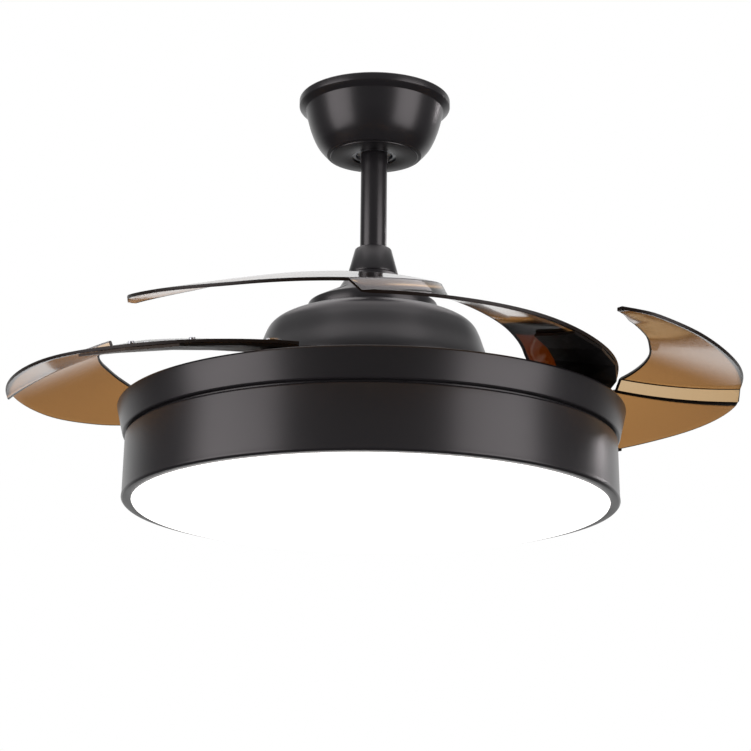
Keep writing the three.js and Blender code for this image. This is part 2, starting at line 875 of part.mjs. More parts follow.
function bladeArm() {
  const offset = -(bladeThickness + armThickness) / 2 - seatGap;
  const stations = shares(rootSteps).slice(0, armSteps + 1).map(rootStation);
  const plate = bladeSheet(stations, shares(acrossSteps).slice(1), offset, armThickness);
  const boss = rod(bossRadius, bossBase, bossTop);
  return cut(
    join(boss, gearSector(), plate),
    rod(pinRadius + pressGap, rimLevel, bossTop + bladeRise),
  );
}

// The pin runs from under the return spring to its rivet head on top of the arm's boss.
function pivotPin() {
  const springHeight = springTurns * springPitch + springWire;
  const footTop = turntableBase - springHeight - 2 * seatGap;
  const headBase = bossTop + seatGap;
  return turned(
    [
      [0, footTop - pinFootHeight],
      [pinRadius + pinFlange, footTop - pinFootHeight],
      [pinRadius + pinFlange, footTop],
      [pinRadius, footTop],
      [pinRadius, headBase],
      [pinRadius + pinRivet, headBase],
      [pinRadius + pinRivet, headBase + pinTopHeight],
      [0, headBase + pinTopHeight],
    ],
    smallSides,
  );
}

// A torsion spring round the pin, one unbroken tube of close turns.
function returnSpring() {
  const steps = 6;
  const sides = 4;
  const count = springTurns * steps;
  const wire = springWire / 2;
  const start = turntableBase - seatGap - springTurns * springPitch - wire;
  const positions = [];
  for (let i = 0; i <= count; i++) {
    const [x, y] = polar(1, (360 * i) / steps);
    for (let j = 0; j < sides; j++) {
      const [outward, upward] = polar(wire, (360 * j) / sides);
      const radius = springRadius + outward;
      positions.push(radius * x, radius * y, start + (i / steps) * springPitch + upward);
    }
  }
  const index = [];
  for (let i = 0; i < count; i++) {
    for (let j = 0; j < sides; j++) {
      const a = i * sides + j;
      const b = i * sides + ((j + 1) % sides);
      index.push(a, a + sides, b, b, a + sides, b + sides);
    }
  }
  for (let j = 1; j < sides - 1; j++) {
    index.push(0, j, j + 1);
    index.push(count * sides, count * sides + j + 1, count * sides + j);
  }
  const geometry = new THREE.BufferGeometry();
  geometry.setAttribute("position", new THREE.Float32BufferAttribute(positions, 3));
  geometry.setIndex(index);
  return geometry;
}

function pivotAngles() {
  return Array.from({ length: bladeCount }, (_, i) => firstPivotAngle - (360 / bladeCount) * i);
}

// ---- dome, cap and coupling ----
// The flank's points are shares of the way in to the flat top and of the dome's height.
function motorDome() {
  const flank = new THREE.SplineCurve(
    [
      [0, 0],
      [0.032, 0.165],
      [0.148, 0.416],
      [0.238, 0.638],
      [0.322, 0.775],
      [0.467, 0.866],
      [0.71, 0.942],
      [1, 1],
    ].map(
      ([inward, upward]) =>
        new THREE.Vector2(
          THREE.MathUtils.lerp(domeRadius, domeTopRadius, inward),
          domeBase + domeHeight * upward,
        ),
    ),
  );
  const edge = [yokeRadius + domeHoleMargin, domeTop];
  const along = (steps) => flank.getPoints(steps).map((point) => [point.x, point.y]);
  return turnedShell([...along(7), edge], bigSides, [...along(4), edge]);
}

function ventCap() {
  const outside = [
    [capRadius, capBase],
    [capRadius, capShoulder - softEdge],
    [capRadius - softEdge, capShoulder],
    [capNeckRadius, capNeck],
    [capTopRadius, capTop],
    [yokeRadius + 2 * seatGap, capTop],
  ];
  const shell = turnedShell(outside, midSides).rotateZ(Math.PI / midSides);
  const inner = capNeckRadius + ventMargin;
  const outer = capRadius - ventMargin;
  const vents = [];
  for (let i = 0; i < ventCount; i++) {
    const vent = box(ventWidth, outer - inner, capShoulder, capNeck);
    vent.translate(0, -(inner + outer) / 2, 0);
    vent.rotateZ((2 * Math.PI * i) / ventCount);
    vents.push(vent);
  }
  return cut(shell, ...vents);
}

function yokeCollar() {
  const shaftHole = shaftRadius + seatGap;
  const body = turnedRing([
    [shaftHole, yokeFlangeBase],
    [yokeFlangeRadius, yokeFlangeBase],
    [yokeFlangeRadius, yokeFlangeTop],
    [yokeRadius + 2 * softEdge, yokeFlangeTop],
    [yokeRadius, yokeFlangeTop + 2 * softEdge],
    [yokeRadius, yokeTop],
    [yokeBore, yokeTop],
    [yokeBore, rodFoot - seatGap],
    [shaftHole, rodFoot - seatGap],
  ]);
  return cut(body, crossHole(yokePinLevel));
}

function couplingCover() {
  return turnedShell(
    [
      [coverFootRadius, coverFoot],
      [coverFootRadius, coverFoot + 2 * softEdge],
      [coverTopRadius, coverTop - softEdge],
      [coverTopRadius - softEdge, coverTop],
      [yokeBore, coverTop],
    ],
    midSides,
  );
}

function receiverUnit() {
  const top = yokeFlangeBase - seatGap;
  const base = top - receiverHeight;
  const outer = yokeFlangeRadius - receiverInset;
  const inner = shaftRadius + receiverMargin;
  return turnedRing([
    [inner, base],
    [outer - 3 * softEdge, base],
    [outer, base + 3 * softEdge],
    [outer, top],
    [inner, top],
  ]);
}

// ---- rod and hanger ----
function downrod() {
  const tube = washer(rodRadius - rodWall, rodRadius, rodFoot, rodTop);
  return cut(tube, crossHole(yokePinLevel), crossHole(ballLevel));
}

function crossHole(level) {
  return crossRod(crossPinRadius + pressGap, 4 * ballRadius, level);
}

function hangerBall() {
  const profile = [[yokeBore, ballLevel - ballFootCut]];
  const low = Math.asin(-ballFootCut / ballRadius);
  const high = Math.asin(ballTopCut / ballRadius);
  for (const share of shares(5)) {
    const angle = THREE.MathUtils.lerp(low, high, share);
    profile.push([ballRadius * Math.cos(angle), ballLevel + ballRadius * Math.sin(angle)]);
  }
  profile.push([yokeBore, ballLevel + ballTopCut]);
  return cut(turnedRing(profile), crossHole(ballLevel));
}

function ceilingBracket() {
  const plateBase = overallHeight - bracketThickness;
  const cradleTop = cradleBase + cradleHeight;
  const past = bracketThickness;
  const onBothSides = (offset, make) => [-1, 1].map((side) => make().translate(side * offset, 0, 0));
  const plate = extruded(slotShape(bracketLength, bracketWidth), plateBase, overallHeight);
  const seatRadius = ballRadius + 2 * runningGap;
  const bore = rodRadius + cradleSwing;
  const boreTop = ballLevel - Math.sqrt(seatRadius ** 2 - bore ** 2);
  const seat = shares(3).map((share) => {
    const height = THREE.MathUtils.lerp(cradleTop, boreTop, share);
    return [Math.sqrt(seatRadius ** 2 - (ballLevel - height) ** 2), height];
  });
  const cradle = turnedRing([
    [bore, cradleBase],
    [cradleRadius, cradleBase],
    [cradleRadius, cradleTop],
    ...seat,
  ]);
  const legs = onBothSides(cradleRadius - 1.5 * bracketThickness, () =>
    box(bracketThickness, bracketLegWidth, cradleBase, overallHeight - bracketThickness / 2),
  );
  const mouth = box(
    2 * rodRadius + cradleMouthRoom,
    2 * cradleRadius,
    cradleBase - past,
    cradleTop + past,
  ).translate(0, cradleRadius, 0);
  const slot = slotShape(bracketSlotLength, bracketSlotWidth);
  const slots = onBothSides(bracketLength / 2 - bracketSlotInset, () =>
    extruded(slot, plateBase - past, overallHeight + past),
  );
  return cut(join(plate, cradle, ...legs), mouth, ...slots);
}

// The bowl's points are shares of the way out from its flat bottom and of its height.
function ceilingCanopy() {
  const bowl = new THREE.SplineCurve(
    [
      [0.11, 0.023],
      [0.409, 0.211],
      [0.628, 0.471],
      [0.799, 0.805],
    ].map(
      ([outward, upward]) =>
        new THREE.Vector2(
          THREE.MathUtils.lerp(canopyFloorRadius, canopyRadius, outward),
          canopyFoot + canopyHeight * upward,
        ),
    ),
  );
  const along = (steps) => bowl.getPoints(steps).map((point) => [point.x, point.y]);
  const hole = [rodRadius + canopySwing, canopyFoot];
  const edge = [canopyRadius - drumBead, overallHeight];
  const lipRadius = canopyRadius - canopyLipWidth;
  const outside = [
    hole,
    [canopyFloorRadius, canopyFoot],
    [canopyFloorRadius, canopyFoot + canopyStep],
    ...along(4),
    [lipRadius, overallHeight - canopyLipHeight - canopyLipWidth],
    [canopyRadius, overallHeight - canopyLipHeight],
    edge,
  ];
  const plain = [hole, [canopyFloorRadius + canopyStep, canopyFoot], ...along(3).slice(1), edge];
  return turnedShell(outside, midSides + 4, plain);
}

// ---- assembly ----
addPiece("ceiling_bracket", ceilingBracket(), "zinc");
addPiece("canopy", ceilingCanopy(), "charcoal");
addPiece("hanger_ball", hangerBall(), "zinc");
addPiece("hanger_pin", crossPin(ballLevel, ballRadius - ballPinInset), "steel");
addPiece("downrod", downrod(), "charcoal");
addPiece("coupling_cover", couplingCover(), "charcoal");
addPiece("yoke_collar", yokeCollar(), "zinc");
addPiece("yoke_pin", crossPin(yokePinLevel, yokeRadius + crossPinProud), "steel");
addPiece("vent_cap", ventCap(), "charcoal");
addPiece("motor_dome", motorDome(), "charcoal");
addPiece("receiver_unit", receiverUnit(), "nylon");
addPiece("motor_shaft", motorShaft(), "steel");
addPiece("upper_bearing", ballBearing(upperBearing), "steel");
addPiece("lower_bearing", ballBearing(lowerBearing), "steel");
addPiece("stator", statorWithCoils(), "copper");
addPiece("rotor_shell", rotorShell(), "charcoal");
addPiece("magnet_ring", magnetRing(), "ferrite");
addPiece("turntable", turntable(), "charcoal");
addPiece("ring_cover", ringCover(), "nylon");
addPiece("sync_ring", syncRing(), "nylon");
addPiece("lamp_chassis", lampChassis(), "charcoal");
addPiece("shaft_nut", shaftNut(), "zinc");
addPiece("led_driver", ledDriver(), "nylon");
addPiece("led_board", ledBoard(), "board");
addPiece("lamp_band", lampBand(), "charcoal");
addPiece("lamp_drum", lampDrum(), "charcoal");
addPiece("diffuser", lampDiffuser(), "opal");

pivotAngles().forEach((degrees, i) => {
  const pivot = new THREE.Group();
  const [x, y] = polar(pivotRadius, degrees);
  pivot.position.set(x, y, 0);
  pivot.rotation.z = THREE.MathUtils.degToRad(degrees - 90);
  fan.add(pivot);
  const bladeHolder = new THREE.Group();
  bladeHolder.rotation.z = THREE.MathUtils.degToRad(-foldedAngle);
  pivot.add(bladeHolder);
  const number = i + 1;
  addPiece("blade_" + number, fanBlade(), "amber", bladeHolder);
  addPiece("blade_arm_" + number, bladeArm(), "zinc", bladeHolder);
  addPiece("pivot_pin_" + number, pivotPin(), "zinc", bladeHolder);
  addPiece("return_spring_" + number, returnSpring(), "steel", pivot);
});

export default group;
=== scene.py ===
# Ceiling fan with four retractable amber blades above a round lamp.
import json
import math
import bpy
from mathutils import Matrix, Vector


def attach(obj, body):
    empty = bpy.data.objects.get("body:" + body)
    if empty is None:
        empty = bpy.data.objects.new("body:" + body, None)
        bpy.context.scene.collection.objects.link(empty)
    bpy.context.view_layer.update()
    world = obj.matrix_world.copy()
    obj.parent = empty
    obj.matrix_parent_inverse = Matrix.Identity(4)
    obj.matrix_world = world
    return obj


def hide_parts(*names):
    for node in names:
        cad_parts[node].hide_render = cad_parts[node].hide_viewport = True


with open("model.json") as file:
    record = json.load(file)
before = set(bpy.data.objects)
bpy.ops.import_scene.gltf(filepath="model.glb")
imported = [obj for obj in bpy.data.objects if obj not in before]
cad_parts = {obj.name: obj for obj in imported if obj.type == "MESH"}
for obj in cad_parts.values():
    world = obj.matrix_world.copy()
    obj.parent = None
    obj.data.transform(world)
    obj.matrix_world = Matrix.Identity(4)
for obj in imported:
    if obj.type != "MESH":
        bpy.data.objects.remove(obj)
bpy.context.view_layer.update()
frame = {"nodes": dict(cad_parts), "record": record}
mm = 0.001
lampEdge = 425  # the lamp's lower edge is this far below the ceiling, in mm
print("frame loaded:", len(frame["nodes"]), "nodes")


# ---- small helpers ----
def linearColour(hexCode):
    code = hexCode.lstrip("#")
    channels = []
    for start in (0, 2, 4):
        value = int(code[start:start + 2], 16) / 255
        channels.append(value / 12.92 if value <= 0.04045 else ((value + 0.055) / 1.055) ** 2.4)
    return (*channels, 1.0)


def addNode(tree, kind, settings=None, inputs=None):
    node = tree.nodes.new(kind)
    for name, value in (settings or {}).items():
        setattr(node, name, value)
    for name, value in (inputs or {}).items():
        if isinstance(value, bpy.types.NodeSocket):
            tree.links.new(value, node.inputs[name])
        else:
            node.inputs[name].default_value = value
    return node


def combine(tree, operation, first, second):
    node = addNode(tree, "ShaderNodeMath", {"operation": operation}, {0: first, 1: second})
    return node.outputs["Value"]


# From low to high in a smooth step, while the value goes from start to end.
def smoothStep(tree, value, start, end, low, high):
    return addNode(
        tree, "ShaderNodeMapRange", {"interpolation_type": "SMOOTHSTEP"},
        {"Value": value, "From Min": start, "From Max": end, "To Min": low, "To Max": high},
    ).outputs["Result"]


def newMaterial(name, colour, **values):
    material = bpy.data.materials.new(name)
    material.use_nodes = True
    tree = material.node_tree
    shader = tree.nodes["Principled BSDF"]
    shader.inputs["Base Color"].default_value = linearColour(colour)
    for socket, value in values.items():
        shader.inputs[socket.replace("_", " ")].default_value = value
    place = addNode(tree, "ShaderNodeTexCoord").outputs["Object"]
    return material, tree, shader, place


def addGrain(tree, place, grainMm, detail=3.0, stretch=(1, 1, 1)):
    spread = addNode(tree, "ShaderNodeMapping", inputs={"Vector": place, "Scale": stretch})
    return addNode(
        tree, "ShaderNodeTexNoise",
        inputs={"Vector": spread.outputs["Vector"], "Scale": 1 / (grainMm * mm), "Detail": detail},
    ).outputs["Fac"]


def addRoughness(tree, shader, grain, low, high):
    spread = addNode(
        tree, "ShaderNodeMapRange", inputs={"Value": grain, "To Min": low, "To Max": high},
    )
    tree.links.new(spread.outputs["Result"], shader.inputs["Roughness"])


def addBump(tree, shader, grain, depthMm, strength):
    bump = addNode(
        tree, "ShaderNodeBump",
        inputs={"Height": grain, "Distance": depthMm * mm, "Strength": strength},
    )
    tree.links.new(bump.outputs["Normal"], shader.inputs["Normal"])


def addMottle(tree, shader, grain, colourA, colourB):
    mix = addNode(tree, "ShaderNodeMix", {"data_type": "RGBA"}, {0: grain})
    mix.inputs[6].default_value = linearColour(colourA)  # the colour sockets A and B
    mix.inputs[7].default_value = linearColour(colourB)
    tree.links.new(mix.outputs[2], shader.inputs["Base Color"])


def selectOnly(piece):
    bpy.ops.object.select_all(action="DESELECT")
    piece.select_set(True)
    bpy.context.view_layer.objects.active = piece


def applyModifier(piece, kind, **settings):
    selectOnly(piece)
    modifier = piece.modifiers.new(kind.lower(), kind)
    for name, value in settings.items():
        setattr(modifier, name, value)
    bpy.ops.object.modifier_apply(modifier=modifier.name)


def roundEdges(piece, widthMm, segments, angle):
    applyModifier(
        piece, "BEVEL", width=widthMm * mm, segments=segments, limit_method="ANGLE",
        angle_limit=math.radians(angle),
    )


def cutAway(piece, cutter):
    applyModifier(piece, "BOOLEAN", operation="DIFFERENCE", object=cutter, solver="EXACT")
    bpy.data.objects.remove(cutter)


def joinPieces(pieces):
    selectOnly(pieces[-1])
    for piece in pieces:
        piece.select_set(True)
    bpy.ops.object.join()
    return pieces[-1]


def finishPiece(piece, material, body, nodes=(), smooth=32):
    selectOnly(piece)
    bpy.ops.object.shade_smooth_by_angle(angle=math.radians(smooth))
    if material:
        piece.data.materials.clear()
        piece.data.materials.append(material)
    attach(piece, body)
    if nodes:
        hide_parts(*nodes)


# A ring of points is extruded and scaled along a profile of (radius, height), in mm above
# the lamp's lower edge. A profile that starts on the axis ends on it too, and is closed
# there. Any other one is closed into a ring.
def turnPiece(name, profile, sides=128, edge=0.5):
    pole = 0.002  # a point on the axis is drawn this far out, in mm, and merged at the end
    path = [(max(radius, pole), height) for radius, height in profile]
    if profile[0][0] > 0:
        path.append(path[0])
    bpy.ops.object.select_all(action="DESELECT")
    bpy.ops.mesh.primitive_circle_add(vertices=sides, radius=path[0][0] * mm)
    piece = bpy.context.object
    piece.name = piece.data.name = name
    bpy.ops.object.mode_set(mode="EDIT")
    bpy.ops.mesh.select_all(action="SELECT")
    bpy.ops.transform.translate(value=(0, 0, (path[0][1] - lampEdge) * mm))
    for (radius, height), (nextRadius, nextHeight) in zip(path, path[1:]):
        rise = {"value": (0, 0, (nextHeight - height) * mm)}
        bpy.ops.mesh.extrude_region_move(TRANSFORM_OT_translate=rise)
        grow = nextRadius / radius
        bpy.ops.transform.resize(value=(grow, grow, 1), center_override=(0, 0, 0))
    bpy.ops.mesh.select_all(action="SELECT")
    bpy.ops.mesh.remove_doubles(threshold=3 * pole * mm)
    bpy.ops.mesh.normals_make_consistent(inside=False)
    bpy.ops.object.mode_set(mode="OBJECT")
    roundEdges(piece, edge, segments=3, angle=26)
    return piece


# The outer profile, then the inner one at the wall's thickness, back to the start.
def shellProfile(outer, wall):
    sides = []
    for (r0, z0), (r1, z1) in zip(outer, outer[1:]):
        length = math.hypot(r1 - r0, z1 - z0)
        sides.append((-(z1 - z0) / length, (r1 - r0) / length))
    inner = []
    for i, (radius, height) in enumerate(outer):
        if i in (0, len(outer) - 1):
            nr, nz = sides[min(i, len(sides) - 1)]
            if abs(nr) > abs(nz):
                inner.append((radius + math.copysign(wall, nr), height))
            else:
                inner.append((radius, height + math.copysign(wall, nz)))
            continue
        (ar, az), (br, bz) = sides[i - 1], sides[i]
        mitre = 1 + ar * br + az * bz
        inner.append((radius + wall * (ar + br) / mitre, height + wall * (az + bz) / mitre))
    return list(outer) + inner[::-1]


# Points along a Catmull-Rom curve through the given ones.
def curvePoints(points, steps):
    last = len(points) - 1
    found = []
    for k in range(steps + 1):
        where = k / steps * last
        i = min(int(where), last - 1)
        t = where - i
        p0, p1, p2, p3 = (points[min(max(j, 0), last)] for j in (i - 1, i, i + 1, i + 2))
        point = []
        for a, b, c, d in zip(p0, p1, p2, p3):
            v0, v1 = (c - a) / 2, (d - b) / 2
            cubic = (2 * b - 2 * c + v0 + v1) * t ** 3 + (3 * c - 3 * b - 2 * v0 - v1) * t * t
            point.append(cubic + v0 * t + b)
        found.append(tuple(point))
    return found


# A curved flank through (share of the way to the other radius, share of the height).
def flankPoints(shares, steps, radius, otherRadius, foot, height):
    return [
        (radius + (otherRadius - radius) * sideways, foot + height * upward)
        for sideways, upward in curvePoints(shares, steps)
    ]


# ---- finishes, with the size of their grain in mm ----
# Satin charcoal enamel sprayed on pressed steel: a faint orange peel, broad soft highlights.
def satinEnamel():
    material, tree, shader, place = newMaterial(
        "satinEnamelOnSteel", "#1d1c1e", Roughness=0.34, IOR=1.5, Specular_IOR_Level=0.45,
    )
    addRoughness(tree, shader, addGrain(tree, place, 60, 2), 0.27, 0.33)  # broad clouds
    addBump(tree, shader, addGrain(tree, place, 1.6, 2), 0.02, 0.25)  # orange peel
    return material


# Tea-brown clear polycarbonate, moulded and glossy: it tints what is behind it.
def tintedPolycarbonate():
    material, tree, shader, place = newMaterial(
        "tintedPolycarbonate", "#ffffff", Roughness=0.06, IOR=1.585, Transmission_Weight=1.0,
    )
    # 3 mm of it lets 45, 26 and 10 per cent of red, green and blue through
    absorbed = {"Density": 1 / mm, "Color": (0.735, 0.545, 0.24, 1)}
    tint = addNode(tree, "ShaderNodeVolumeAbsorption", inputs=absorbed)
    tree.links.new(tint.outputs["Volume"], tree.nodes["Material Output"].inputs["Volume"])
    addRoughness(tree, shader, addGrain(tree, place, 30), 0.05, 0.09)
    return material


# Painted shade: a near-black finish on the blade's rims, on the strips beside the step and on the
# strip along the inner edge. It stands in for the dark look of the tinted plastic seen edge on and
# at its folds.
def polycarbonatePaintedShade():
    material, tree, shader, place = newMaterial(
        "tintedPolycarbonatePaintedShade", "#150d08", Roughness=0.35, IOR=1.5, Specular_IOR_Level=0.2,
    )
    addRoughness(tree, shader, addGrain(tree, place, 8), 0.3, 0.45)
    return material


# Opal acrylic lit from behind: even white light, no visible lamps.
def opalAcrylic():
    material, tree, shader, place = newMaterial(
        "opalAcrylicLit", "#ffffff", Roughness=0.45, IOR=1.49,
    )
    shader.inputs["Emission Color"].default_value = linearColour("#fffefb")
    shader.inputs["Emission Strength"].default_value = 1.0
    addBump(tree, shader, addGrain(tree, place, 0.9, 2), 0.01, 0.2)  # fine matt tooth
    return material


# Zinc plating on pressed steel: bluish grey, soft sheen with small spangles.
def zincPlate():
    material, tree, shader, place = newMaterial(
        "zincPlatedSteel", "#c4c8cc", Metallic=1.0, Roughness=0.3,
    )
    spangles = addNode(
        tree, "ShaderNodeTexVoronoi", inputs={"Vector": place, "Scale": 1 / (3 * mm)},
    )
    addMottle(tree, shader, spangles.outputs["Distance"], "#ccd0d4", "#aeb3b8")
    addRoughness(tree, shader, addGrain(tree, place, 4), 0.24, 0.4)
    return material


# Zinc plating with a black passivation on the blade arms: dark, with a brown metallic sheen.
def blackZincPlate():
    material, tree, shader, place = newMaterial(
        "blackZincPlatedSteel", "#2b2724", Metallic=1.0, Roughness=0.34,
    )
    addRoughness(tree, shader, addGrain(tree, place, 4), 0.28, 0.44)
    return material


# Die-cast zinc as it comes from the mould: bright, with a dull skin in places.
def castZinc():
    material, tree, shader, place = newMaterial(
        "dieCastZinc", "#b9babb", Metallic=1.0, Roughness=0.36,
    )
    addRoughness(tree, shader, addGrain(tree, place, 6, 4), 0.28, 0.5)
    addBump(tree, shader, addGrain(tree, place, 0.8), 0.02, 0.4)
    return material


# Turned steel: fine lines round the axis.
def turnedSteel():
    material, tree, shader, place = newMaterial(
        "turnedSteel", "#9a9da1", Metallic=1.0, Roughness=0.3,
    )
    lines = addGrain(tree, place, 1.2, 2, (0.2, 0.2, 4))  # tool marks, 0.3 mm apart along Z
    addRoughness(tree, shader, lines, 0.22, 0.42)
    return material


# Cast aluminium under a dark coat: even, slightly grainy.
def coatedAluminium():
    material, tree, shader, place = newMaterial(
        "coatedCastAluminium", "#343336", Roughness=0.5, IOR=1.5,
    )
    addRoughness(tree, shader, addGrain(tree, place, 12), 0.44, 0.58)
    addBump(tree, shader, addGrain(tree, place, 0.7), 0.03, 0.5)
    return material


# Rolled aluminium sheet as it comes from the mill: fine straight lines along the sheet.
def rolledAluminium():
    material, tree, shader, place = newMaterial(
        "rolledAluminium", "#c3c6c9", Metallic=1.0, Roughness=0.35,
    )
    lines = addGrain(tree, place, 2, 2, (0.05, 2, 1))  # rolling lines, about 1 mm apart
    addRoughness(tree, shader, lines, 0.28, 0.44)
    return material


# Enamelled copper windings, for the whole stator: strands about 1.1 mm apart.
def windings():
    material, tree, shader, place = newMaterial(
        "enamelledCopper", "#a5623a", Metallic=0.9, Roughness=0.35,
    )
    strands = addNode(
        tree, "ShaderNodeTexWave", {"bands_direction": "Z"},
        {"Vector": place, "Scale": 1 / (3.6 * mm), "Distortion": 0.4},
    )
    addMottle(tree, shader, strands.outputs["Fac"], "#6d3b1f", "#b9744a")
    return material


# Pressed ferrite: matt, nearly black, like stone.
def ferrite():
    material, tree, shader, place = newMaterial(
        "sinteredFerrite", "#2d2c2e", Roughness=0.75, IOR=2.0,
    )
    addBump(tree, shader, addGrain(tree, place, 0.6), 0.02, 0.5)
    return material


# Glass-filled nylon, moulded black: dull with a fine spark texture.
def mouldedNylon():
    material, tree, shader, place = newMaterial(
        "mouldedBlackNylon", "#1d1d1f", Roughness=0.55, IOR=1.53,
    )
    addRoughness(tree, shader, addGrain(tree, place, 5), 0.5, 0.62)
    addBump(tree, shader, addGrain(tree, place, 0.5), 0.02, 0.6)
    return material


# Natural acetal: milky white, waxy.
def acetal():
    material, tree, shader, place = newMaterial(
        "naturalAcetal", "#dedbd2", Roughness=0.38, IOR=1.48, Subsurface_Weight=0.15,
        Subsurface_Scale=0.003,
    )
    addRoughness(tree, shader, addGrain(tree, place, 8), 0.32, 0.45)
    return material


# White solder mask over aluminium: flat, faintly glossy.
def solderMask():
    material, tree, shader, place = newMaterial(
        "whiteSolderMask", "#ecece8", Roughness=0.4, IOR=1.5,
    )
    addBump(tree, shader, addGrain(tree, place, 1.5), 0.01, 0.3)
    return material


finishes = {
    "charcoal_paint": satinEnamel(),
    "zinc_steel": zincPlate(),
    "sheet_aluminium": rolledAluminium(),
    "zinc_alloy": castZinc(),
    "bare_steel": turnedSteel(),
    "cast_aluminium": coatedAluminium(),
    "laminations": windings(),
    "magnets": ferrite(),
    "black_plastic": mouldedNylon(),
    "gear_plastic": acetal(),
    "board": solderMask(),
    "opal_acrylic": opalAcrylic(),
    "amber_plastic": tintedPolycarbonate(),
}
# The near-black blade finish is painted shade, not the plastic's own colour.
paintedShadeFinish, armFinish = polycarbonatePaintedShade(), blackZincPlate()
for subpart in frame["record"]["subparts"]:
    node = frame["nodes"][subpart["node"]]
    isArm = subpart["node"].startswith("blade_arm")
    node.data.materials.clear()
    node.data.materials.append(armFinish if isArm else finishes[subpart["material_slot"]])
print("finishes ready:", len(finishes))


def charcoalPiece(name, profile, node, body="hanging_fan", sides=128, edge=0.5):
    piece = turnPiece(name, profile, sides, edge)
    finishPiece(piece, finishes["charcoal_paint"], body, (node,))


# ---- lamp ----
# Lengths from here to the camera are in mm, levels in mm above the lamp's lower edge and
# angles in degrees. The small numbers in a profile round its corners.
lamp = {
    "drumRadius": 242.4, "topRadius": 241.4, "drumHeight": 62.4, "lip": 9.3, "wall": 1,
    "bead": 0.6, "beadLevel": 1.6, "beadTop": 6,  # the drum is this much wider near its foot
    "shelf": 226, "neck": 237.4, "seam": 0.3, "grooveTop": 64.5, "bandFoot": 244,
    "rimRadius": 250, "rimLevel": 93.1, "corner": 1, "round": 1.6,
}
drumOutside = [
    (lamp["drumRadius"] - lamp["lip"], 0),
    (lamp["drumRadius"] - lamp["corner"], 0),
    (lamp["drumRadius"] + lamp["bead"], lamp["beadLevel"]),
    (lamp["drumRadius"] + lamp["bead"] / 2, lamp["beadTop"] - 2),
    (lamp["drumRadius"], lamp["beadTop"]),
    (lamp["topRadius"], lamp["drumHeight"] - lamp["round"]),
    (lamp["topRadius"] - lamp["corner"], lamp["drumHeight"]),
    (lamp["shelf"], lamp["drumHeight"]),
]
charcoalPiece("drum_shell", shellProfile(drumOutside, lamp["wall"]), "lamp_drum", sides=256)
bandOutside = [
    (lamp["shelf"], lamp["drumHeight"] + lamp["seam"]),
    (lamp["neck"], lamp["drumHeight"] + lamp["seam"]),
    (lamp["neck"], lamp["grooveTop"]),
    (lamp["bandFoot"] - lamp["corner"], lamp["grooveTop"]),
    (lamp["bandFoot"], lamp["grooveTop"] + lamp["corner"]),
    (lamp["rimRadius"], lamp["rimLevel"] - lamp["round"]),
    (lamp["rimRadius"] - 0.6, lamp["rimLevel"]),
]
bandProfile = shellProfile(bandOutside, lamp["wall"])
charcoalPiece("band_shell", bandProfile, "lamp_band", sides=256, edge=0.35)

diffuser = {
    "radius": 239.5, "faceRadius": 232.5, "proud": 2.4, "seat": 1.3, "depth": 22, "wall": 1.6,
    "round": 2,
}
dishOutside = [
    (0, -diffuser["proud"]),
    (diffuser["faceRadius"] - diffuser["round"], -diffuser["proud"]),
    (diffuser["faceRadius"] - 0.6, 0.6 - diffuser["proud"]),
    (diffuser["faceRadius"], diffuser["round"] - diffuser["proud"]),
    (diffuser["faceRadius"], diffuser["seat"]),
    (diffuser["radius"], diffuser["seat"]),
    (diffuser["radius"], diffuser["seat"] + diffuser["depth"]),
]
dish = turnPiece("opal_dish", shellProfile(dishOutside, diffuser["wall"]), sides=256)
finishPiece(dish, finishes["opal_acrylic"], "hanging_fan", ("diffuser",))
print("lamp ready")

# ---- motor dome, vented cap, coupling, rod and canopy ----
dome = {
    "radius": 121, "topRadius": 64.2, "base": 127, "height": 66.5, "wall": 1, "hole": 21,
    "steps": 49,
}
# how far in towards the flat top and how far up each point of the flank lies
domeShares = [
    (0, 0), (0.032, 0.165), (0.148, 0.416), (0.238, 0.638), (0.322, 0.775), (0.467, 0.866),
    (0.71, 0.942), (1, 1),
]
domeFlank = flankPoints(
    domeShares, dome["steps"], dome["radius"], dome["topRadius"], dome["base"], dome["height"],
)
domeOutside = domeFlank + [(dome["hole"], dome["base"] + dome["height"])]
charcoalPiece("dome_shell", shellProfile(domeOutside, dome["wall"]), "motor_dome", sides=160)

cap = {
    "radius": 65, "neckRadius": 35, "topRadius": 25.8, "hole": 16.6, "wall": 1,
    "foot": 193.8, "shoulder": 205.5, "neck": 220, "top": 236, "round": 1.6,
    "vents": 10, "ventWidth": 3.4, "ventInner": 42, "ventOuter": 58,
}
capOutside = [
    (cap["radius"], cap["foot"]),
    (cap["radius"], cap["shoulder"] - cap["round"]),
    (cap["radius"] - 0.5, cap["shoulder"] - 0.5),
    (cap["radius"] - cap["round"], cap["shoulder"]),
    (cap["neckRadius"] + 1.4, cap["neck"] - 0.5),
    (cap["neckRadius"] - 0.3, cap["neck"] + 1),
    (cap["topRadius"] + 0.5, cap["top"] - 1),
    (cap["topRadius"] - 0.6, cap["top"]),
    (cap["hole"], cap["top"]),
]
capPiece = turnPiece("vented_cap", shellProfile(capOutside, cap["wall"]), sides=120, edge=0.4)
ventRadius = (cap["ventInner"] + cap["ventOuter"]) / 2
ventLevel = (cap["shoulder"] + cap["neck"]) / 2 - lampEdge
ventSize = (cap["ventOuter"] - cap["ventInner"], cap["ventWidth"], cap["neck"] - cap["shoulder"])
vents = []
for number in range(cap["vents"]):
    turn = math.tau * number / cap["vents"] - math.pi / 2
    middle = Vector((ventRadius * math.cos(turn), ventRadius * math.sin(turn), ventLevel))
    bpy.ops.object.select_all(action="DESELECT")
    bpy.ops.mesh.primitive_cube_add(
        size=1, location=middle * mm, rotation=(0, 0, turn), scale=Vector(ventSize) * mm,
    )
    bpy.ops.object.transform_apply(location=True, rotation=True, scale=True)
    vents.append(bpy.context.object)
cutAway(capPiece, joinPieces(vents))
finishPiece(capPiece, finishes["charcoal_paint"], "hanging_fan", ("vent_cap",))

